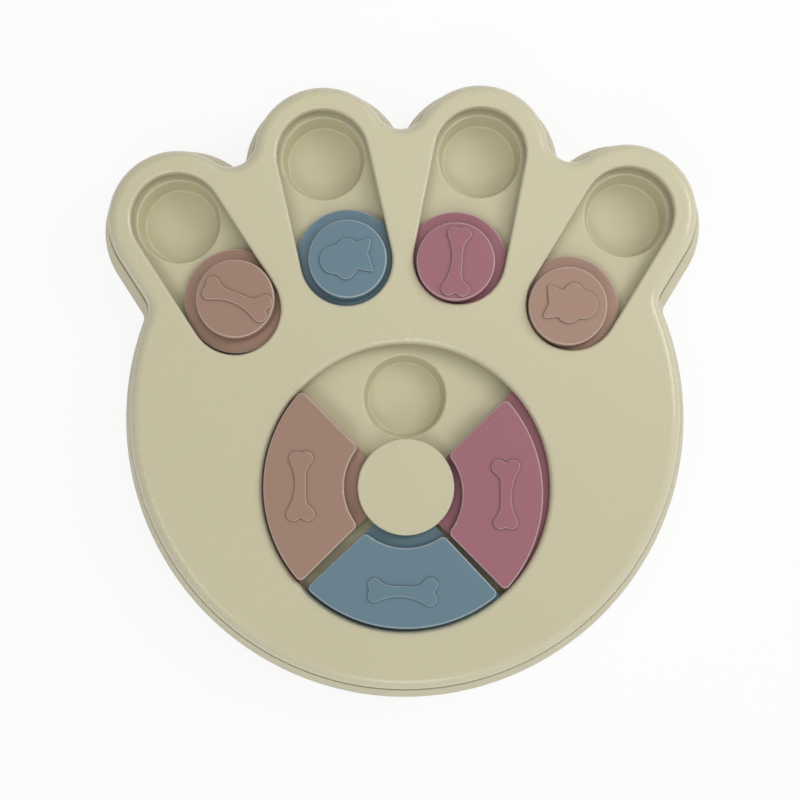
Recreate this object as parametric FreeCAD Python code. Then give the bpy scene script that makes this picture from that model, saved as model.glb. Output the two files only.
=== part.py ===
import FreeCAD, Part
import math
import os

from FreeCAD import Vector

# A paw-shaped treat puzzle. Millimetres, +Z up, +Y towards the toes, +X to the right.
# The origin is in the middle of the outline, on the surface that the feet stand on.

# Plan of the cover, measured from the middle of the round body.
BODY_RADIUS = 115.0
TOE_RADIUS = 29.6
OUTER_TOE_X = 93.5
OUTER_TOE_Y = 81.7
OUTER_TOE_TILT = 32.0
INNER_TOE_X = 32.7
INNER_TOE_Y = 107.3
INNER_TOE_TILT = 12.0
GAP_RADIUS = 9.4
HUB_Y = -30.9

# Base tray.
SKIRT_FLARE = 5.2
SKIRT_RIM_HEIGHT = 2.2
BASE_LIFT = 1.0
BASE_WALL = 2.2
DECK_THICKNESS = 2.4
TRACK_Z = 22.3
PARTING_Z = 20.0
PARTING_GAP = 0.3
GROOVE_REACH = 0.4
GROOVE_WIDTH = 0.7
GROOVE_DEPTH = 0.4
GROOVE_LIP = 0.4
WELL_RADIUS = 17.0
WELL_RIM_RADIUS = 1.0
WELL_DEPTH = 8.6
WELL_TAPER = 1.4
WELL_FLOOR_FILLET = 1.0
WELL_FLOOR = 2.2
WELL_WALL = 1.8
RING_WELL_DISTANCE = 38.2
RING_WELL_COUNT = 4

# Cover.
COVER_THICKNESS = 3.3
COVER_WALL = 2.4
COVER_EDGE_RADIUS = 5.0
COVER_BEAD = 0.6
COVER_BEAD_HEIGHT = 1.4
SLOT_RUN = 44.8
RING_OPENING_RADIUS = 59.4
SLOT_EDGE_RADIUS = 1.2
RING_EDGE_RADIUS = 2.4

# Pucks and ring sliders.
RUN_GAP = 0.3
FLANGE_THICKNESS = 3.8
FLANGE_LAP = 5.6
FLANGE_EDGE_RADIUS = 0.7
BUTTON_RADIUS = 16.2
BUTTON_DRAFT = 0.2
BUTTON_PLAY = 2.6
BUTTON_RISE = 6.6
BUTTON_EDGE_RADIUS = 0.9
MOVER_WALL = 2.2
BLOCK_CAP_GAP = 5.0
BLOCK_RIM_GAP = 1.2
BLOCK_RISE = 6.2
BLOCK_SIDE_INSET = 2.2
BLOCK_CORNER_RADIUS = 2.4
BLOCK_EDGE_RADIUS = 0.9
LEDGE_CORNER_RADIUS = 2.0
LEDGE_RIM_LAP = 4.4
LEDGE_POST_GAP = 5.6

# Where the photograph shows each puck: how far past the inner well, and how far aside,
# both as a share of the play that the button has in its slot.
PUCK_PLACES = {
    "puck_left_outer": (-1.1, 0.93),
    "puck_left_inner": (0.14, 0.23),
    "puck_right_inner": (0.84, -0.46),
    "puck_right_outer": (0.8, -0.48),
}
# Angle of each ring slider round the hub, and how far it has slipped in its loose track.
SLIDER_PLACES = {
    "slider_right": (-1.0, -1.9, -2.9),
    "slider_bottom": (-92.6, 0.0, 0.0),
    "slider_left": (178.9, -0.4, 0.0),
}

# Motifs on the pucks: kind, turn in degrees, and place from the button's middle.
PUCK_MOTIFS = {
    "puck_left_outer": ("bone", -22.5, 0.8, 0.0),
    "puck_left_inner": ("fish", 0.0, 0.0, 0.0),
    "puck_right_inner": ("bone", -95.1, 0.6, -0.3),
    "puck_right_outer": ("fish", 167.0, 0.7, 0.9),
}
RELIEF_HEIGHT = 0.9
RELIEF_ROOT = 0.5
RELIEF_EDGE_RADIUS = 0.45
BONE_LENGTH = 28.6
BONE_BIG_KNOB = 3.0
BONE_BIG_SPREAD = 2.9
BONE_BIG_NOTCH = 1.0
BONE_SMALL_KNOB = 2.75
BONE_SMALL_SPREAD = 2.25
BONE_SMALL_NOTCH = 3.0
# One flank of the bone is a long hollow. The other is straight, with a short hollow at each end.
BONE_LONG_HOLLOW = 20.0
BONE_FLANK = 2.1
BONE_BIG_HOLLOW = 5.0
BONE_SMALL_HOLLOW = 8.0
BONE_OUTWARD = 1.1
# Fish with its nose to the left, as arcs in turn: centre, radius, and 1 for a bulge or -1 for a hollow.
FISH_ARCS = {
    "nose": (-5.6, -0.5, 5.8, 1),
    "chin": (-4.9, -7.5, 1.0, -1),
    "belly_fin": (-0.7, -5.1, 3.6, 1),
    "under_tail": (4.6, -5.4, 0.8, -1),
    "lower_tail": (9.7, -4.9, 0.75, 1),
    "tail_notch": (9.2, 2.0, 0.7, -1),
    "upper_tail": (8.5, 6.9, 1.2, 1),
    "over_tail": (3.7, 7.5, 0.8, -1),
    "back_fin": (-0.2, 3.3, 4.9, 1),
    "brow": (-6.0, 7.3, 2.0, -1),
}

# Hub.
POST_RADIUS = 9.0
CAP_RADIUS = 20.0
CAP_THICKNESS = 3.8
CAP_EDGE_RADIUS = 0.9
SPIGOT_RADIUS = 4.0
SPIGOT_LENGTH = 11.0
HUB_SOCKET_WALL = 2.2
RING_WALL_PLAY = 4.6
RING_WALL_THICKNESS = 1.8
RING_WALL_GAP = 0.9

# Screws and their sockets.
SCREW_RADIUS = 1.5
SCREW_FIT = 0.1
SCREW_HEAD_RADIUS = 3.0
SCREW_HEAD_HEIGHT = 2.0
SCREW_BITE = 8.0
SCREW_TIP_ROOM = 1.0
BOSS_RADIUS = 4.0
BOSS_FIT = 0.3
SOCKET_DEPTH = 8.0
SOCKET_WALL = 1.8
SOCKET_FLOOR = 2.2
SCREW_RING_INSET = 9.5
SCREW_RING_ANGLES = (170.0, 10.0, 222.0, 318.0, 270.0)
TOE_SCREW_DROP = 3.0

# Feet.
FOOT_RADIUS = 9.0
FOOT_THICKNESS = 3.0
FOOT_EDGE_RADIUS = 0.6
FOOT_FIT = 0.2
FOOT_POCKET_DEPTH = 1.4
FOOT_SEAT_WALL = 1.6
FOOT_POST_INSET = 27.0
FOOT_POST_ANGLES = (232.0, 308.0)

# How far a cutting shape goes past the face that it cuts.
OVERCUT = 1.0
# Two points nearer than this are one point.
TOUCHING = 0.0001

# Plan sizes that follow.
SLOT_HALF_WIDTH = BUTTON_RADIUS + BUTTON_DRAFT + BUTTON_PLAY
FLANGE_RADIUS = BUTTON_RADIUS + FLANGE_LAP
BLOCK_INNER_RADIUS = CAP_RADIUS + BLOCK_CAP_GAP
BLOCK_OUTER_RADIUS = RING_OPENING_RADIUS - BLOCK_RIM_GAP
LEDGE_INNER_RADIUS = POST_RADIUS + LEDGE_POST_GAP
LEDGE_OUTER_RADIUS = RING_OPENING_RADIUS + LEDGE_RIM_LAP
RING_WALL_RADIUS = LEDGE_OUTER_RADIUS + RING_WALL_PLAY
BONE_REACH = (BLOCK_INNER_RADIUS + BLOCK_OUTER_RADIUS) / 2 + BONE_OUTWARD
SLIDER_SPAN = 360 / RING_WELL_COUNT
SCREW_RING_RADIUS = BODY_RADIUS - SCREW_RING_INSET
FOOT_POST_RADIUS = BODY_RADIUS - FOOT_POST_INSET

# Heights that follow.
COVER_TOP_Z = TRACK_Z + 2 * RUN_GAP + FLANGE_THICKNESS + COVER_THICKNESS
COVER_UNDER_Z = COVER_TOP_Z - COVER_THICKNESS
MOVER_Z = TRACK_Z + RUN_GAP
FLANGE_TOP_Z = MOVER_Z + FLANGE_THICKNESS
DECK_UNDER_Z = TRACK_Z - DECK_THICKNESS
SOCKET_FLOOR_Z = TRACK_Z - SOCKET_DEPTH
CUP_UNDER_Z = TRACK_Z - WELL_DEPTH - WELL_FLOOR

# The body's middle, placed so that the whole outline is centred on the origin.
BODY_Y = (BODY_RADIUS - INNER_TOE_Y - TOE_RADIUS) / 2


def polar(radius, degrees, centre=Vector()):
    a = math.radians(degrees)
    return centre + Vector(radius * math.cos(a), radius * math.sin(a), 0)


def turned(vector, radians):
    c = math.cos(radians)
    s = math.sin(radians)
    return Vector(c * vector.x - s * vector.y, s * vector.x + c * vector.y, 0)


def body_centre():
    return Vector(0, BODY_Y, 0)


def hub_centre():
    return body_centre() + Vector(0, HUB_Y, 0)


def toes():
    """Outer well, inward direction and sideways direction of each toe, from left to right."""
    plan = (
        (-OUTER_TOE_X, OUTER_TOE_Y, -OUTER_TOE_TILT),
        (-INNER_TOE_X, INNER_TOE_Y, -INNER_TOE_TILT),
        (INNER_TOE_X, INNER_TOE_Y, INNER_TOE_TILT),
        (OUTER_TOE_X, OUTER_TOE_Y, OUTER_TOE_TILT),
    )
    out = []
    for x, y, tilt in plan:
        inward = turned(Vector(0, -1, 0), -math.radians(tilt))
        out.append((body_centre() + Vector(x, y, 0), inward, turned(inward, math.pi / 2)))
    return out


def touching_centre(c1, r1, c2, r2, radius):
    """Centre of a circle that touches two others from outside, on the left of c1 to c2."""
    span = c2 - c1
    a = r1 + radius
    b = r2 + radius
    along = (a * a - b * b + span.Length ** 2) / (2 * span.Length)
    side = math.sqrt(a * a - along * along)
    unit = span / span.Length
    return c1 + unit * along + turned(unit, math.pi / 2) * side


def tangent_loop(circles, z=0.0):
    """Closed wire round circles taken in turn, each a bulge (1) or a hollow (-1), with tangents between."""
    count = len(circles)
    leave = []
    enter = [None] * count
    for i, (c1, r1, sense1) in enumerate(circles):
        c2, r2, sense2 = circles[(i + 1) % count]
        span = c2 - c1
        lean = (sense1 * r1 - sense2 * r2) / span.Length
        along = turned(span / span.Length, math.asin(max(-1.0, min(1.0, lean))))
        left = turned(along, math.pi / 2)
        leave.append(c1 - left * (sense1 * r1))
        arrive = c2 - left * (sense2 * r2)
        touching = (arrive - leave[i]).Length < TOUCHING
        enter[(i + 1) % count] = leave[i] if touching else arrive
    edges = []
    up = Vector(0, 0, z)
    for i, (centre, radius, sense) in enumerate(circles):
        start = enter[i] - centre
        end = leave[i] - centre
        a0 = math.atan2(start.y, start.x)
        a1 = math.atan2(end.y, end.x)
        while sense * (a1 - a0) <= 0:
            a1 += sense * 2 * math.pi
        middle = polar(radius, math.degrees((a0 + a1) / 2), centre)
        edges.append(Part.Arc(enter[i] + up, middle + up, leave[i] + up).toShape())
        following = enter[(i + 1) % count]
        if following is not leave[i]:
            edges.append(Part.LineSegment(leave[i] + up, following + up).toShape())
    return Part.Wire(edges)


def paw_outline(grow, z):
    """The paw's outline. Zero is the cover's lower edge, and more is further out."""
    body = body_centre()
    wells = [toe[0] for toe in toes()]
    loop = [(body, BODY_RADIUS + grow, 1)]
    loop.append((waist_centre(3), GAP_RADIUS - grow, -1))
    for i in (3, 2, 1, 0):
        loop.append((wells[i], TOE_RADIUS + grow, 1))
        if i:
            gap = touching_centre(wells[i - 1], TOE_RADIUS, wells[i], TOE_RADIUS, GAP_RADIUS)
            loop.append((gap, GAP_RADIUS - grow, -1))
    loop.append((waist_centre(0), GAP_RADIUS - grow, -1))
    return tangent_loop(loop, z)


def waist_centre(index):
    """Centre of the hollow between the body and the outer flank of toe 0 or 3."""
    well, inward, sideways = toes()[index]
    outward = sideways * (1 if index == 3 else -1)
    start = well + outward * (TOE_RADIUS + GAP_RADIUS) - body_centre()
    reach = BODY_RADIUS + GAP_RADIUS
    b = start.dot(inward)
    c = start.dot(start) - reach * reach
    return body_centre() + start + inward * (-b - math.sqrt(b * b - c))


def prism(wire, height):
    return Part.Face(wire).extrude(Vector(0, 0, height))


def disc(centre, radius, z0, z1):
    return Part.makeCylinder(radius, z1 - z0, Vector(centre.x, centre.y, z0))


def tube(centre, outer, inner, z0, z1):
    return disc(centre, outer, z0, z1).cut(disc(centre, inner, z0, z1))


def stadium(start, end, radius, z0, z1):
    side = turned((end - start) / (end - start).Length, math.pi / 2) * radius
    tip = (end - start) / (end - start).Length * radius
    low = Vector(0, 0, z0)
    corners = [start + side, start - side, end - side, end + side]
    a, b, c, d = [p + low for p in corners]
    edges = [
        Part.Arc(a, start - tip + low, b).toShape(),
        Part.LineSegment(b, c).toShape(),
        Part.Arc(c, end + tip + low, d).toShape(),
        Part.LineSegment(d, a).toShape(),
    ]
    return prism(Part.Wire(edges), z1 - z0)


def fused(shapes):
    whole = shapes[0].multiFuse(shapes[1:]) if len(shapes) > 1 else shapes[0]
    return whole.removeSplitter()


def spun(points):
    """Solid of revolution about Z. A point is (r, z), and a third entry marks the middle of an arc."""
    edges = []
    path = points + points[:1]
    i = 0
    while i < len(path) - 1:
        if len(path[i + 1]) == 3:
            edges.append(Part.Arc(rz(path[i]), rz(path[i + 1]), rz(path[i + 2])).toShape())
            i += 2
        else:
            edges.append(Part.LineSegment(rz(path[i]), rz(path[i + 1])).toShape())
            i += 1
    return Part.Face(Part.Wire(edges)).revolve(Vector(), Vector(0, 0, 1), 360)


def rz(point):
    return Vector(point[0], 0, point[1])


def edge_loop(shape, z, wanted):
    """Edges lying flat at height z whose middle passes the test."""
    out = []
    for edge in shape.Edges:
        box = edge.BoundBox
        if abs(box.ZMin - z) < 1e-3 and abs(box.ZMax - z) < 1e-3:
            middle = edge.valueAt((edge.FirstParameter + edge.LastParameter) / 2)
            if wanted(middle):
                out.append(edge)
    return out


def upright_edges(shape, wanted):
    out = []
    for edge in shape.Edges:
        box = edge.BoundBox
        if box.XLength < 1e-3 and box.YLength < 1e-3 and wanted(box.Center):
            out.append(edge)
    return out


def corner(radius, r, z, turn_r, turn_z):
    """Middle point of a quarter-round whose sharp corner would be at (r, z)."""
    cut = radius * (1 - math.sqrt(0.5))
    return (r - turn_r * cut, z - turn_z * cut, "arc")


def well_centres():
    """All twelve wells: one at each end of every slot, and four round the hub."""
    out = []
    for well, inward, _ in toes():
        out += [well, well + inward * SLOT_RUN]
    for i in range(RING_WELL_COUNT):
        out.append(polar(RING_WELL_DISTANCE, 90 + i * 360 / RING_WELL_COUNT, hub_centre()))
    return out


def well_hollow(centre):
    """The space inside a well, tapered, with a rounded floor and mouth."""
    floor_z = TRACK_Z - WELL_DEPTH
    foot = WELL_RADIUS - WELL_TAPER
    f = WELL_FLOOR_FILLET
    e = WELL_RIM_RADIUS
    over = TRACK_Z + OVERCUT
    points = [
        (0, floor_z),
        (foot - f, floor_z),
        corner(f, foot, floor_z, 1, -1),
        (foot, floor_z + f),
        (WELL_RADIUS, TRACK_Z - e),
        corner(e, WELL_RADIUS, TRACK_Z, -1, 1),
        (WELL_RADIUS + e, TRACK_Z),
        (WELL_RADIUS + e, over),
        (0, over),
    ]
    hollow = spun(points)
    hollow.translate(centre)
    return hollow


def well_cup(centre):
    """The outside of a well, below the deck."""
    foot = WELL_RADIUS - WELL_TAPER + WELL_WALL
    f = WELL_FLOOR_FILLET
    points = [
        (0, CUP_UNDER_Z),
        (foot - f, CUP_UNDER_Z),
        corner(f, foot, CUP_UNDER_Z, 1, -1),
        (foot, CUP_UNDER_Z + f),
        (WELL_RADIUS + WELL_WALL, TRACK_Z - DECK_THICKNESS / 2),
        (0, TRACK_Z - DECK_THICKNESS / 2),
    ]
    cup = spun(points)
    cup.translate(centre)
    return cup


def screw_places():
    """Eight screws: five inside the body's edge, and one in each gap between the toes."""
    body = body_centre()
    wells = [toe[0] for toe in toes()]
    out = [polar(SCREW_RING_RADIUS, a, body) for a in SCREW_RING_ANGLES]
    for a, b in zip(wells, wells[1:]):
        inward = turned((b - a) / (b - a).Length, -math.pi / 2)
        out.append((a + b) / 2 + inward * TOE_SCREW_DROP)
    return out


def foot_places():
    """Six feet: one under the outer well of each toe, and two on posts near the body's lower edge."""
    wells = [toe[0] for toe in toes()]
    return wells + [polar(FOOT_POST_RADIUS, a, body_centre()) for a in FOOT_POST_ANGLES]


def skirt_shell():
    """Flared skirt and deck, open underneath, with a groove round the cover's lower edge."""
    rim_z = BASE_LIFT + SKIRT_RIM_HEIGHT
    top_z = PARTING_Z - PARTING_GAP
    rim = prism(paw_outline(SKIRT_FLARE, BASE_LIFT), SKIRT_RIM_HEIGHT)
    slope = Part.makeLoft(
        [paw_outline(SKIRT_FLARE, rim_z), paw_outline(GROOVE_REACH + GROOVE_LIP, top_z)], True, True
    )
    groove_z = top_z - GROOVE_DEPTH
    depth = GROOVE_DEPTH + OVERCUT
    groove = prism(paw_outline(GROOVE_REACH, groove_z), depth)
    groove = groove.cut(prism(paw_outline(GROOVE_REACH - GROOVE_WIDTH, groove_z), depth))
    tongue_z = top_z - BASE_WALL
    tongue_grow = -COVER_BEAD - COVER_WALL - PARTING_GAP
    tongue = prism(paw_outline(tongue_grow, tongue_z), TRACK_Z - tongue_z)
    inner_low = prism(paw_outline(SKIRT_FLARE - BASE_WALL, BASE_LIFT), SKIRT_RIM_HEIGHT)
    inner = Part.makeLoft(
        [
            paw_outline(SKIRT_FLARE - BASE_WALL, rim_z),
            paw_outline(tongue_grow - BASE_WALL, DECK_UNDER_Z),
        ],
        True,
        True,
    )
    return fused([rim, slope, tongue]).cut(fused([inner_low, inner])).cut(groove)


def foot_seat(centre, top_z):
    pocket_z = FOOT_THICKNESS
    low = pocket_z - FOOT_POCKET_DEPTH
    outer = FOOT_RADIUS + FOOT_FIT + FOOT_SEAT_WALL
    pocket = disc(centre, FOOT_RADIUS + FOOT_FIT, low, pocket_z)
    return disc(centre, outer, low, top_z), pocket


def base_tray():
    shell = skirt_shell()
    hub = hub_centre()
    add = [well_cup(c) for c in well_centres()]
    cut = [well_hollow(c) for c in well_centres()]
    ring_top = COVER_UNDER_Z - RING_WALL_GAP
    add.append(
        tube(hub, RING_WALL_RADIUS + RING_WALL_THICKNESS, RING_WALL_RADIUS, DECK_UNDER_Z, ring_top)
    )
    spigot_end = COVER_UNDER_Z - SPIGOT_LENGTH
    add.append(disc(hub, POST_RADIUS, DECK_UNDER_Z, COVER_UNDER_Z))
    add.append(
        disc(hub, SPIGOT_RADIUS + HUB_SOCKET_WALL, spigot_end - SOCKET_FLOOR, DECK_UNDER_Z + OVERCUT)
    )
    cut.append(disc(hub, SPIGOT_RADIUS + SCREW_FIT, spigot_end, COVER_UNDER_Z + OVERCUT))
    bore_z = spigot_end - SOCKET_FLOOR - OVERCUT
    cut.append(disc(hub, SCREW_RADIUS + 2 * SCREW_FIT, bore_z, spigot_end + OVERCUT))
    for place in screw_places():
        outer = BOSS_RADIUS + BOSS_FIT + SOCKET_WALL
        add.append(disc(place, outer, SOCKET_FLOOR_Z - SOCKET_FLOOR, DECK_UNDER_Z + OVERCUT))
        cut.append(disc(place, BOSS_RADIUS + BOSS_FIT, SOCKET_FLOOR_Z, TRACK_Z + OVERCUT))
        hole_z = SOCKET_FLOOR_Z - SOCKET_FLOOR - OVERCUT
        cut.append(disc(place, SCREW_RADIUS + 2 * SCREW_FIT, hole_z, SOCKET_FLOOR_Z + OVERCUT))
    toe_count = len(toes())
    for i, place in enumerate(foot_places()):
        under_z = CUP_UNDER_Z if i < toe_count else DECK_UNDER_Z
        seat, pocket = foot_seat(place, under_z + WELL_FLOOR / 2)
        add.append(seat)
        cut.append(pocket)
        cut.append(disc(place, FOOT_RADIUS - FOOT_SEAT_WALL, FOOT_THICKNESS, under_z))
    tray = fused([shell] + add)
    return tray.cut(Part.makeCompound(cut)).removeSplitter()


def top_cover():
    bead = prism(paw_outline(0, PARTING_Z), COVER_BEAD_HEIGHT)
    shell = prism(paw_outline(-COVER_BEAD, PARTING_Z), COVER_TOP_Z - PARTING_Z)
    rim = edge_loop(shell, COVER_TOP_Z, lambda p: True)
    shell = shell.makeFillet(COVER_EDGE_RADIUS, rim)
    shell = fused([shell, bead])
    low = PARTING_Z - OVERCUT
    hollow = prism(paw_outline(-COVER_BEAD - COVER_WALL, low), COVER_UNDER_Z - low)
    shell = shell.cut(hollow)
    low = COVER_UNDER_Z - OVERCUT
    high = COVER_TOP_Z + OVERCUT
    for well, inward, _ in toes():
        shell = shell.cut(stadium(well, well + inward * SLOT_RUN, SLOT_HALF_WIDTH, low, high))
    shell = shell.cut(disc(hub_centre(), RING_OPENING_RADIUS, low, high))
    shell = eased_openings(shell)
    bosses = []
    for place in screw_places():
        boss = disc(place, BOSS_RADIUS, SOCKET_FLOOR_Z, COVER_UNDER_Z + OVERCUT)
        pilot_end = SOCKET_FLOOR_Z + SCREW_BITE + SCREW_TIP_ROOM
        pilot = disc(place, SCREW_RADIUS, SOCKET_FLOOR_Z - OVERCUT, pilot_end)
        bosses.append(boss.cut(pilot))
    return fused([shell] + bosses)


def eased_openings(shell):
    """Round the top edges of the slots and of the ring opening."""
    hub = hub_centre()

    def on_ring(p):
        return abs(math.hypot(p.x - hub.x, p.y - hub.y) - RING_OPENING_RADIUS) < 0.01

    def on_slot(p):
        for well, inward, _ in toes():
            rel = Vector(p.x, p.y, 0) - well
            along = min(max(rel.dot(inward), 0), SLOT_RUN)
            if abs((rel - inward * along).Length - SLOT_HALF_WIDTH) < 0.01:
                return True
        return False

    shell = shell.makeFillet(RING_EDGE_RADIUS, edge_loop(shell, COVER_TOP_Z, on_ring))
    return shell.makeFillet(SLOT_EDGE_RADIUS, edge_loop(shell, COVER_TOP_Z, on_slot))


def bone_wire(z):
    """Bone lying along X, its big end at +X, its straight flank at +Y."""
    big = Vector(BONE_LENGTH / 2 - BONE_BIG_KNOB, BONE_BIG_SPREAD, 0)
    small = Vector(BONE_SMALL_KNOB - BONE_LENGTH / 2, BONE_SMALL_SPREAD, 0)
    low_big = Vector(big.x, -big.y, 0)
    low_small = Vector(small.x, -small.y, 0)
    big_r = BONE_BIG_KNOB
    small_r = BONE_SMALL_KNOB
    long_centre = touching_centre(low_big, big_r, low_small, small_r, BONE_LONG_HOLLOW)
    big_notch = touching_centre(big, big_r, low_big, big_r, BONE_BIG_NOTCH)
    small_notch = touching_centre(low_small, small_r, small, small_r, BONE_SMALL_NOTCH)
    loop = [
        (low_small, small_r, 1),
        (long_centre, BONE_LONG_HOLLOW, -1),
        (low_big, big_r, 1),
        (big_notch, BONE_BIG_NOTCH, -1),
        (big, big_r, 1),
        (flank_hollow(big, big_r, BONE_BIG_HOLLOW, -1), BONE_BIG_HOLLOW, -1),
        (flank_hollow(small, small_r, BONE_SMALL_HOLLOW, 1), BONE_SMALL_HOLLOW, -1),
        (small, small_r, 1),
        (small_notch, BONE_SMALL_NOTCH, -1),
    ]
    return tangent_loop(loop, z)


def flank_hollow(knob, knob_radius, radius, towards):
    """Centre of a hollow that touches a knob and the bone's straight flank."""
    rise = BONE_FLANK + radius - knob.y
    return knob + Vector(towards * math.sqrt((knob_radius + radius) ** 2 - rise ** 2), rise, 0)


def fish_wire(z):
    return tangent_loop([(Vector(x, y, 0), r, sense) for x, y, r, sense in FISH_ARCS.values()], z)


def relief(kind, turn, centre, face_z):
    """Raised motif, rooted a little below the face that carries it."""
    low = face_z - RELIEF_ROOT
    wire = bone_wire(low) if kind == "bone" else fish_wire(low)
    shape = prism(wire, RELIEF_ROOT + RELIEF_HEIGHT)
    rim = edge_loop(shape, face_z + RELIEF_HEIGHT, lambda p: True)
    shape = shape.makeFillet(RELIEF_EDGE_RADIUS, rim)
    shape.rotate(Vector(), Vector(0, 0, 1), turn)
    shape.translate(Vector(centre.x, centre.y, 0))
    return shape


def puck_centre(name):
    index = list(PUCK_PLACES).index(name)
    well, inward, sideways = toes()[index]
    past, aside = PUCK_PLACES[name]
    return well + inward * (SLOT_RUN + past * BUTTON_PLAY) + sideways * (aside * BUTTON_PLAY)


def puck(name):
    """Button on a wider flange, turned in one piece and hollow from below."""
    top_z = FLANGE_TOP_Z + BUTTON_RISE
    foot = BUTTON_RADIUS + BUTTON_DRAFT
    e = BUTTON_EDGE_RADIUS
    f = FLANGE_EDGE_RADIUS
    bore = BUTTON_RADIUS - MOVER_WALL
    points = [
        (bore, MOVER_Z),
        (FLANGE_RADIUS, MOVER_Z),
        (FLANGE_RADIUS, FLANGE_TOP_Z - f),
        corner(f, FLANGE_RADIUS, FLANGE_TOP_Z, 1, 1),
        (FLANGE_RADIUS - f, FLANGE_TOP_Z),
        (foot, FLANGE_TOP_Z),
        (BUTTON_RADIUS, top_z - e),
        corner(e, BUTTON_RADIUS, top_z, 1, 1),
        (BUTTON_RADIUS - e, top_z),
        (0, top_z),
        (0, top_z - MOVER_WALL),
        (bore, top_z - MOVER_WALL),
    ]
    body = spun(points)
    centre = puck_centre(name)
    body.translate(centre)
    kind, turn, x, y = PUCK_MOTIFS[name]
    return fused([body, relief(kind, turn, centre + Vector(x, y, 0), top_z)])


def sector(inner, outer, inset, z0, z1):
    """Part of a ring about the origin, its middle along +X, its straight sides drawn in by inset."""
    half = SLIDER_SPAN / 2
    tip = Vector(inset / math.sin(math.radians(half)), 0, z0)
    reach = 2 * outer / math.cos(math.radians(half))
    corners = [tip, polar(reach, -half, tip), polar(reach, half, tip), tip]
    wedge = prism(Part.makePolygon(corners), z1 - z0)
    return tube(Vector(), outer, inner, z0, z1).common(wedge)


def ring_slider(name):
    """Quarter-ring block with an inner and an outer ledge, hollow from below."""
    top_z = FLANGE_TOP_Z + BLOCK_RISE
    w = MOVER_WALL
    block = sector(BLOCK_INNER_RADIUS, BLOCK_OUTER_RADIUS, BLOCK_SIDE_INSET, MOVER_Z, top_z)
    block = block.makeFillet(BLOCK_CORNER_RADIUS, upright_edges(block, lambda p: True))
    block = block.makeFillet(BLOCK_EDGE_RADIUS, edge_loop(block, top_z, lambda p: True))
    ledge = sector(LEDGE_INNER_RADIUS, LEDGE_OUTER_RADIUS, BLOCK_SIDE_INSET, MOVER_Z, FLANGE_TOP_Z)
    ledge = ledge.makeFillet(LEDGE_CORNER_RADIUS, upright_edges(ledge, lambda p: True))
    hollow = sector(
        BLOCK_INNER_RADIUS + w, BLOCK_OUTER_RADIUS - w, BLOCK_SIDE_INSET + w, MOVER_Z - OVERCUT, top_z - w
    )
    shape = fused([block, ledge]).cut(hollow)
    shape = fused([shape, relief("bone", 90.0, Vector(BONE_REACH, 0, 0), top_z)])
    angle, slip_x, slip_y = SLIDER_PLACES[name]
    shape.rotate(Vector(), Vector(0, 0, 1), angle)
    shape.translate(hub_centre() + Vector(slip_x, slip_y, 0))
    return shape


def hub_cap():
    top_z = COVER_UNDER_Z + CAP_THICKNESS
    e = CAP_EDGE_RADIUS
    tip = COVER_UNDER_Z - SPIGOT_LENGTH + SCREW_FIT
    points = [
        (SCREW_RADIUS, tip),
        (SPIGOT_RADIUS, tip),
        (SPIGOT_RADIUS, COVER_UNDER_Z),
        (CAP_RADIUS, COVER_UNDER_Z),
        (CAP_RADIUS, top_z - e),
        corner(e, CAP_RADIUS, top_z, 1, 1),
        (CAP_RADIUS - e, top_z),
        (0, top_z),
        (0, tip + SCREW_BITE + SCREW_TIP_ROOM),
        (SCREW_RADIUS, tip + SCREW_BITE + SCREW_TIP_ROOM),
    ]
    cap = spun(points)
    cap.translate(hub_centre())
    return cap


def screw(centre, seat_z):
    """Pan-head screw driven upwards, its head under the seat."""
    shank = SCREW_RADIUS - SCREW_FIT
    low = seat_z - SCREW_HEAD_HEIGHT
    e = SCREW_HEAD_HEIGHT / 2
    points = [
        (0, low),
        (SCREW_HEAD_RADIUS - e, low),
        corner(e, SCREW_HEAD_RADIUS, low, 1, -1),
        (SCREW_HEAD_RADIUS, low + e),
        (SCREW_HEAD_RADIUS, seat_z),
        (shank, seat_z),
        (shank, seat_z + SOCKET_FLOOR + SCREW_BITE),
        (0, seat_z + SOCKET_FLOOR + SCREW_BITE),
    ]
    body = spun(points)
    body.translate(centre)
    return body


def foot(centre):
    e = FOOT_EDGE_RADIUS
    points = [
        (0, 0),
        (FOOT_RADIUS - e, 0),
        corner(e, FOOT_RADIUS, 0, 1, -1),
        (FOOT_RADIUS, e),
        (FOOT_RADIUS, FOOT_THICKNESS),
        (0, FOOT_THICKNESS),
    ]
    pad = spun(points)
    pad.translate(centre)
    return pad


def build():
    parts = {"base_tray": base_tray(), "top_cover": top_cover(), "hub_cap": hub_cap()}
    hub_seat = COVER_UNDER_Z - SPIGOT_LENGTH - SOCKET_FLOOR
    parts["hub_screw"] = screw(hub_centre(), hub_seat)
    cover_seat = SOCKET_FLOOR_Z - SOCKET_FLOOR
    parts["cover_screws"] = Part.makeCompound([screw(p, cover_seat) for p in screw_places()])
    for name in PUCK_PLACES:
        parts[name] = puck(name)
    for name in SLIDER_PLACES:
        parts[name] = ring_slider(name)
    for i, place in enumerate(foot_places()):
        parts[f"foot_{i + 1}"] = foot(place)
    return parts


def main():
    os.makedirs("parts", exist_ok=True)
    for name, shape in build().items():
        if not shape.isValid():
            raise SystemExit(f"{name} is not a valid solid")
        shape.exportStep(f"parts/{name}.step")
        box = shape.BoundBox
        size = f"{box.XLength:.1f} x {box.YLength:.1f} x {box.ZLength:.1f}"
        print(f"{name}: {len(shape.Solids)} solid, {size} mm, volume {shape.Volume / 1000:.2f} cm3")


if __name__ == "__main__":
    main()
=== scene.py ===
import math

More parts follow.
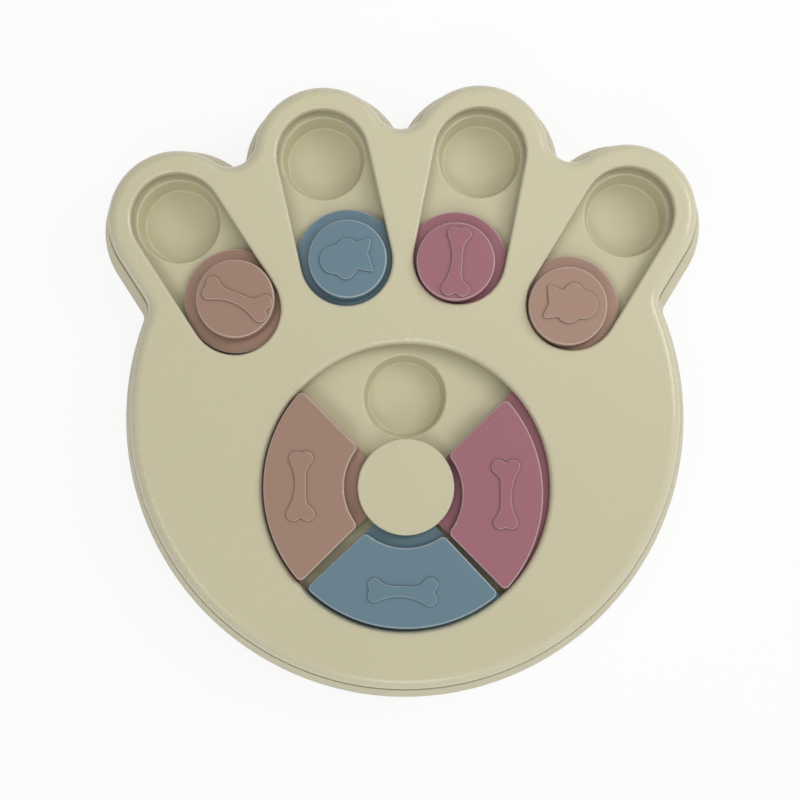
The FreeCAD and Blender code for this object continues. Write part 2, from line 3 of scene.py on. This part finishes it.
import bmesh
import bpy
from mathutils import Euler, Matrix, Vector


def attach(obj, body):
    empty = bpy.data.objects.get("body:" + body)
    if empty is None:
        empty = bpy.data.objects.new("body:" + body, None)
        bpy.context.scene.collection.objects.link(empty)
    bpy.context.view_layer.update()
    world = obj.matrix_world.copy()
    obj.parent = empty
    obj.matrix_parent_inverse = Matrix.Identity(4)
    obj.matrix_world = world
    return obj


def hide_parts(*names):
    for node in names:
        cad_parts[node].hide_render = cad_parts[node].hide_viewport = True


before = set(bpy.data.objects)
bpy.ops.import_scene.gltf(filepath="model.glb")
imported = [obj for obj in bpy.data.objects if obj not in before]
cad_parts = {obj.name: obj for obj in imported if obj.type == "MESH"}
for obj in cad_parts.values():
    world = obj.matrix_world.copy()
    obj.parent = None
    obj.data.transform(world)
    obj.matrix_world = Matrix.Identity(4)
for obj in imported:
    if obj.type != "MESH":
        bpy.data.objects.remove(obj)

MM = 0.001
WHITE = (1.0, 1.0, 1.0, 1.0)

# Camera and photograph frame. Lengths in millimetres, angles in degrees, focal length in pixels.
PHOTO_WIDTH = 800
SENSOR_WIDTH = 36.0
FOCAL_PIXELS = 1398.1
OPTICAL_AXIS_PIXEL = (396.9, 508.6)
CAMERA_PLACE = (-2.7, -60.7, 605.4)
CAMERA_TILT = (1.0, 0.114, -0.77)

# Plastic colours as they look in even light, 0 to 255.
CREAM = (202, 195, 163)
# Cream a little darker and more olive than the cover's: painted shade for the tray's tracks and
# wells below the cover.
CREAM_TRAY_SHADED = (200, 193, 160)
TAUPE = (157, 125, 107)
TAUPE_LIGHT = (164, 132, 114)
GREY_BLUE = (98, 126, 139)
MAUVE = (155, 99, 110)
RUBBER = (186, 181, 160)
STEEL = (150, 151, 152)

# Finish of each material: roughness, its spread, the grain's size and depth in millimetres,
# how much lighter the rounded edges are painted as a highlight, and how much painted shade darkens
# the creases.
SATIN = {"rough": 0.27, "spread": 0.02, "grain": 0.35, "depth": 0.008, "edge": 0.08, "crease_shade": 0.0}
DULL = {"rough": 0.50, "spread": 0.05, "grain": 0.35, "depth": 0.012, "edge": 0.05, "crease_shade": 0.1}
MATTE = {"rough": 0.46, "spread": 0.06, "grain": 0.30, "depth": 0.030, "edge": 0.24, "crease_shade": 0.8}
SOFT = {"rough": 0.75, "spread": 0.08, "grain": 0.40, "depth": 0.030, "edge": 0.05, "crease_shade": 0.2}
METAL = {"rough": 0.28, "spread": 0.04, "grain": 0.35, "depth": 0.006, "edge": 0.10, "crease_shade": 0.3}
REFRACTION = 1.5
GRAIN_DETAIL = 2.0

# Painted shade in creases: how near another face is, in millimetres, and the share of the colour
# left in a deep one.
CREASE_SHADE_REACH = 1.6
CREASE_SHADE_SAMPLES = 8
CREASE_SHADE_TONE = 0.25

# An edge counts as rounded, and gets the painted highlight, between these tilts of its face: height
# of the face's normal, and share.
EDGE_TILT = ((0.20, 0.0), (0.50, 1.0), (0.88, 1.0), (0.985, 0.0))
# How much of a material's roughness is left on its rounded edges.
EDGE_ROUGH_SHARE = 0.8

# Colour drifts slowly over a moulding and has fine flecks: patch size in millimetres,
# how far each goes either way, detail of its noise, and the flecks' part in the mix.
DRIFT_SIZE = 60.0
DRIFT_SHARE = 0.010
DRIFT_DETAIL = 2.0
FLECK_SIZE = 0.55
FLECK_SHARE = 0.014
FLECK_DETAIL = 3.0
FLECK_PART = 0.5
# Patches of uneven polish, in millimetres.
POLISH_SIZE = 15.0
POLISH_DETAIL = 3.0
# The part of a noise's range that it mostly keeps to.
NOISE_SPAN = (0.3, 0.7)
FULL_SPAN = (0.0, 1.0)

# Square floor, its side in millimetres, and the share of plain white in what the camera sees of it.
FLOOR_SIZE = 6000.0
FLOOR_COLOUR = (0.90, 0.90, 0.90, 1.0)
FLOOR_WHITE_SHARE = 0.86

# Light of the surround by the cosine of the angle to its brightest direction: cosine, and strength.
SURROUND_AXIS = (0.10, -0.62, 0.78)
SURROUND = ((0.0, 0.17), (0.45, 0.39), (0.95, 0.75))

# Studio lamps: place and size in millimetres, power in watts.
LAMPS = {
    "overhead": {"place": (250, 550, 750), "size": 1100, "power": 2.8},
    "front": {"place": (0, -1250, 1250), "size": 600, "power": 3.4},
    "key_right": {"place": (1000, 350, 850), "size": 600, "power": 4.6},
    "small_left": {"place": (-560, -300, 1000), "size": 380, "power": 1.2},
}

# Pan-head screws under the tray, in millimetres. The crown is the head's rounded edge:
# heights of its middle and its end, as shares of the head's height.
SCREW_SIDES = 32
SCREW_HEAD_RADIUS = 3.0
SCREW_HEAD_HEIGHT = 2.0
SCREW_FACE_RADIUS = 2.2
SCREW_CROWN_MIDDLE = 0.15
SCREW_CROWN_END = 0.45
SCREW_SHANK_RADIUS = 1.4
SCREW_LENGTH = 12.2
# Screws stand further apart than this.
SCREW_SPACING = 2 * SCREW_HEAD_RADIUS

# Cross recess in each screw head, in millimetres, narrower at its foot.
RECESS_REACH = 1.55
RECESS_HALF_WIDTH = 0.38
RECESS_DEPTH = 1.2
RECESS_FOOT_SHARE = 0.55


def linear(colour):
    """Written colour, 0 to 255, as scene-linear with alpha."""
    out = []
    for c in colour:
        c = c / 255
        out.append(c / 12.92 if c <= 0.04045 else ((c + 0.055) / 1.055) ** 2.4)
    return (*out, 1.0)


def scaled(colour, share):
    return (*(c * share for c in colour[:3]), 1.0)


class Nodes:
    """Short calls for building the node tree of a material or a world."""

    def __init__(self, owner):
        owner.use_nodes = True
        self.owner = owner
        self.tree = owner.node_tree
        self.tree.nodes.clear()

    def add(self, kind, **sockets):
        node = self.tree.nodes.new(kind)
        for key, value in sockets.items():
            node.inputs[key.replace("_", " ")].default_value = value
        return node

    def feed(self, value, socket):
        """Links an output to a socket, or sets the socket to a plain value."""
        if isinstance(value, bpy.types.NodeSocket):
            self.tree.links.new(value, socket)
        else:
            socket.default_value = value

    def noise(self, place, size, detail):
        """Noise whose patches are about size millimetres across."""
        node = self.add("ShaderNodeTexNoise", Scale=1 / (size * MM), Detail=detail)
        self.feed(place, node.inputs["Vector"])
        return node.outputs["Fac"]

    def between(self, value, span, low, high):
        """Value over a span, turned into low to high and held at both ends."""
        node = self.add("ShaderNodeMapRange", To_Min=low, To_Max=high)
        node.inputs["From Min"].default_value, node.inputs["From Max"].default_value = span
        self.feed(value, node.inputs["Value"])
        return node.outputs["Result"]

    def mixed(self, share, a, b):
        """Colour a, with a share of colour b."""
        node = self.add("ShaderNodeMix")
        node.data_type = "RGBA"
        self.feed(share, node.inputs["Factor"])
        self.feed(a, node.inputs[6])
        self.feed(b, node.inputs[7])
        return node.outputs[2]

    def varied(self, noise, colour, share):
        """Colour that goes a share darker and lighter with a noise."""
        shift = self.between(noise, NOISE_SPAN, 0.0, 1.0)
        return self.mixed(shift, scaled(colour, 1 - share), scaled(colour, 1 + share))

    def ramp(self, value, stops):
        """Grey ramp through stops of position and level."""
        node = self.add("ShaderNodeValToRGB")
        elements = node.color_ramp.elements
        while len(elements) < len(stops):
            elements.new(1.0)
        for element, (position, level) in zip(elements, stops):
            element.position = position
            element.color = (level, level, level, 1.0)
        self.feed(value, node.inputs["Fac"])
        return node.outputs["Color"]

    def worked(self, operation, a, b):
        """Result of a sum, named as the math node names it."""
        node = self.add("ShaderNodeMath")
        node.operation = operation
        self.feed(a, node.inputs[0])
        self.feed(b, node.inputs[1])
        return node.outputs[0]

    def either(self, share, a, b):
        """Shader a, with a share of shader b."""
        node = self.add("ShaderNodeMixShader")
        self.feed(share, node.inputs["Fac"])
        self.feed(a.outputs[0], node.inputs[1])
        self.feed(b.outputs[0], node.inputs[2])
        return node

    def surface(self, shader, kind="ShaderNodeOutputMaterial"):
        """Makes a shader the surface, and returns the material or world."""
        self.feed(shader.outputs[0], self.add(kind).inputs["Surface"])
        return self.owner


def coat(n, place, edge, colour, finish):
    """Colour with slow drift and fine flecks, a painted highlight on rounded edges and painted shade
    in creases.
    """
    broad = n.varied(n.noise(place, DRIFT_SIZE, DRIFT_DETAIL), colour, DRIFT_SHARE)
    flecked = n.varied(n.noise(place, FLECK_SIZE, FLECK_DETAIL), colour, FLECK_SHARE)
    plain = n.mixed(FLECK_PART, broad, flecked)
    # Painted highlight: rounded edges mixed towards white.
    painted_highlight = n.mixed(n.worked("MULTIPLY", edge, finish["edge"]), plain, WHITE)
    # Painted shade: colour darkened where other faces are near, in creases, gaps and recesses.
    openness = n.add("ShaderNodeAmbientOcclusion", Distance=CREASE_SHADE_REACH * MM)
    openness.samples = CREASE_SHADE_SAMPLES
    crease_shade = n.between(openness.outputs["AO"], FULL_SPAN, finish["crease_shade"], 0.0)
    return n.mixed(crease_shade, painted_highlight, scaled(colour, CREASE_SHADE_TONE))


def polish(n, place, edge, finish):
    """Roughness in patches, smoother on rounded edges."""
    low = finish["rough"] - finish["spread"]
    high = finish["rough"] + finish["spread"]
    patches = n.between(n.noise(place, POLISH_SIZE, POLISH_DETAIL), NOISE_SPAN, low, high)
    return n.worked("MULTIPLY", patches, n.between(edge, FULL_SPAN, 1.0, EDGE_ROUGH_SHARE))


def solid(name, colour, finish, metallic=0.0):
    """Moulded plastic, rubber or metal with a fine grain, a painted highlight on rounded edges and
    painted shade in creases.
    """
    n = Nodes(bpy.data.materials.new(name))
    spot = n.add("ShaderNodeTexCoord")
    place = spot.outputs["Object"]
    facing = n.add("ShaderNodeSeparateXYZ")
    n.feed(spot.outputs["Normal"], facing.inputs["Vector"])
    # Mask of rounded edges, for the painted highlight and the smoother roughness.
    edge = n.ramp(facing.outputs["Z"], EDGE_TILT)
    grain = n.add("ShaderNodeBump", Strength=1.0, Distance=finish["depth"] * MM)
    n.feed(n.noise(place, finish["grain"], GRAIN_DETAIL), grain.inputs["Height"])
    shader = n.add("ShaderNodeBsdfPrincipled", Metallic=metallic, IOR=REFRACTION)
    n.feed(coat(n, place, edge, linear(colour), finish), shader.inputs["Base Color"])
    n.feed(polish(n, place, edge, finish), shader.inputs["Roughness"])
    n.feed(grain.outputs["Normal"], shader.inputs["Normal"])
    return n.surface(shader)


def paint(material, *names):
    """Gives CAD nodes a material in every slot they have."""
    for name in names:
        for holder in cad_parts[name].material_slots:
            holder.material = material


def dress():
    feet = [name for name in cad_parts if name.startswith("foot_")]
    paint(solid("body_cream", CREAM, SATIN), "top_cover", "hub_cap")
    paint(solid("body_cream_dull_shaded", CREAM_TRAY_SHADED, DULL), "base_tray")
    paint(solid("puck_taupe", TAUPE, MATTE), "puck_left_outer", "slider_left")
    paint(solid("puck_taupe_light", TAUPE_LIGHT, MATTE), "puck_right_outer")
    paint(solid("puck_grey_blue", GREY_BLUE, MATTE), "puck_left_inner", "slider_bottom")
    paint(solid("puck_mauve", MAUVE, MATTE), "puck_right_inner", "slider_right")
    paint(solid("foot_rubber", RUBBER, SOFT), *feet)


def screw_places(node):
    """Lowest point on the axis of each screw in a node."""
    groups = []
    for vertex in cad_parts[node].data.vertices:
        near = [g for g in groups if (g[0].xy - vertex.co.xy).length <= SCREW_SPACING * MM]
        if near:
            near[0].append(vertex.co)
        else:
            groups.append([vertex.co])
    places = []
    for group in groups:
        xs, ys, zs = zip(*group)
        places.append(Vector(((min(xs) + max(xs)) / 2, (min(ys) + max(ys)) / 2, min(zs))))
    return places


def ring_of(mesh, radius, z):
    """Vertices of a ring about the Z axis, in turn."""
    turns = [i * 2 * math.pi / SCREW_SIDES for i in range(SCREW_SIDES)]
    return [
        mesh.verts.new((radius * math.cos(turn) * MM, radius * math.sin(turn) * MM, z * MM))
        for turn in turns
    ]


def cross_loop(mesh, share, z):
    """Corners of a plus sign, in turn."""
    reach = RECESS_REACH * share * MM
    half = RECESS_HALF_WIDTH * share * MM
    corners = []
    for quarter in range(4):
        turn = quarter * math.pi / 2
        for x, y in ((reach, -half), (reach, half), (half, half)):
            place = (
                x * math.cos(turn) - y * math.sin(turn),
                x * math.sin(turn) + y * math.cos(turn),
                z * MM,
            )
            corners.append(mesh.verts.new(place))
    return corners


def joined(mesh, low, high):
    """Band of faces between two closed loops of vertices."""
    for i, _ in enumerate(low):
        j = (i + 1) % len(low)
        mesh.faces.new((low[i], low[j], high[j], high[i]))


def closed_edges(mesh, verts):
    """Edges of a closed loop of vertices, made where they are missing."""
    out = []
    for a, b in zip(verts, verts[1:] + verts[:1]):
        out.append(mesh.edges.get((a, b)) or mesh.edges.new((a, b)))
    return out


def add_screw(mesh):
    """One screw standing on its head at the origin, its shank upwards, the recess open downwards."""
    crown_middle = (SCREW_FACE_RADIUS + SCREW_HEAD_RADIUS) / 2
    profile = (
        (SCREW_FACE_RADIUS, 0.0),
        (crown_middle, SCREW_CROWN_MIDDLE * SCREW_HEAD_HEIGHT),
        (SCREW_HEAD_RADIUS, SCREW_CROWN_END * SCREW_HEAD_HEIGHT),
        (SCREW_HEAD_RADIUS, SCREW_HEAD_HEIGHT),
        (SCREW_SHANK_RADIUS, SCREW_HEAD_HEIGHT),
        (SCREW_SHANK_RADIUS, SCREW_LENGTH - SCREW_SHANK_RADIUS),
        (SCREW_SHANK_RADIUS / 3, SCREW_LENGTH),
    )
    rings = [ring_of(mesh, radius, z) for radius, z in profile]
    for low, high in zip(rings, rings[1:]):
        joined(mesh, low, high)
    mesh.faces.new(rings[-1])
    mouth = cross_loop(mesh, 1.0, 0.0)
    foot = cross_loop(mesh, RECESS_FOOT_SHARE, RECESS_DEPTH)
    joined(mesh, mouth, foot)
    mesh.faces.new(foot)
    rim = closed_edges(mesh, rings[0]) + closed_edges(mesh, mouth)
    bmesh.ops.triangle_fill(mesh, use_beauty=True, edges=rim)
    bmesh.ops.recalc_face_normals(mesh, faces=mesh.faces)


def screws(name, node, material):
    """Screws with a cross recess in place of the plain ones."""
    one = bmesh.new()
    add_screw(one)
    single = bpy.data.meshes.new(name + "_single")
    one.to_mesh(single)
    one.free()
    every = bmesh.new()
    for place in screw_places(node):
        start = len(every.verts)
        every.from_mesh(single)
        every.verts.ensure_lookup_table()
        bmesh.ops.translate(every, vec=place, verts=every.verts[start:])
    data = bpy.data.meshes.new(name)
    every.to_mesh(data)
    every.free()
    bpy.data.meshes.remove(single)
    obj = bpy.data.objects.new(name, data)
    bpy.context.scene.collection.objects.link(obj)
    data.materials.append(material)
    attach(obj, "housing")
    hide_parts(node)


def fasten():
    steel = solid("screw_steel", STEEL, METAL, 1.0)
    screws("recessed_cover_screws", "cover_screws", steel)
    screws("recessed_hub_screw", "hub_screw", steel)


def floor():
    """Plain pale floor that keeps the object's shadow, whiter where it is seen or mirrored."""
    n = Nodes(bpy.data.materials.new("floor_paint"))
    path = n.add("ShaderNodeLightPath")
    mirrored = n.worked("MAXIMUM", path.outputs["Is Camera Ray"], path.outputs["Is Glossy Ray"])
    seen = n.worked("MAXIMUM", mirrored, path.outputs["Is Transmission Ray"])
    share = n.worked("MULTIPLY", seen, FLOOR_WHITE_SHARE)
    diffuse = n.add("ShaderNodeBsdfDiffuse", Color=FLOOR_COLOUR)
    white = n.add("ShaderNodeEmission", Strength=1.0)
    bpy.ops.mesh.primitive_plane_add(size=FLOOR_SIZE * MM)
    plane = bpy.context.object
    plane.name = "floor"
    plane.data.materials.append(n.surface(n.either(share, diffuse, white)))


def light_world():
    """Soft surround, brightest on one side, and white where the camera looks past the floor."""
    n = Nodes(bpy.data.worlds.new("studio"))
    toward = n.add("ShaderNodeVectorMath")
    toward.operation = "DOT_PRODUCT"
    n.feed(n.add("ShaderNodeTexCoord").outputs["Generated"], toward.inputs[0])
    n.feed(Vector(SURROUND_AXIS).normalized(), toward.inputs[1])
    light = n.add("ShaderNodeBackground")
    n.feed(n.ramp(toward.outputs["Value"], SURROUND), light.inputs["Color"])
    white = n.add("ShaderNodeBackground", Color=WHITE)
    seen = n.add("ShaderNodeLightPath").outputs["Is Camera Ray"]
    bpy.context.scene.world = n.surface(n.either(seen, light, white), "ShaderNodeOutputWorld")


def lamps():
    for name, lamp in LAMPS.items():
        data = bpy.data.lights.new(name, "AREA")
        data.shape = "DISK"
        data.size = lamp["size"] * MM
        data.energy = lamp["power"]
        obj = bpy.data.objects.new(name, data)
        bpy.context.scene.collection.objects.link(obj)
        obj.location = Vector(lamp["place"]) * MM
        obj.rotation_euler = (-obj.location).to_track_quat("-Z", "Y").to_euler()


def camera():
    data = bpy.data.cameras.new("camera")
    data.sensor_width = SENSOR_WIDTH
    data.lens = SENSOR_WIDTH * FOCAL_PIXELS / PHOTO_WIDTH
    data.shift_x = 0.5 - OPTICAL_AXIS_PIXEL[0] / PHOTO_WIDTH
    data.shift_y = OPTICAL_AXIS_PIXEL[1] / PHOTO_WIDTH - 0.5
    obj = bpy.data.objects.new("camera", data)
    bpy.context.scene.collection.objects.link(obj)
    obj.location = Vector(CAMERA_PLACE) * MM
    tilt = Euler([math.radians(a) for a in CAMERA_TILT], "ZYX")
    obj.rotation_euler = tilt.to_matrix().to_euler()
    bpy.context.scene.camera = obj


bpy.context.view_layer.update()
bpy.context.scene.view_settings.view_transform = "Standard"
camera()
dress()
fasten()
floor()
light_world()
lamps()
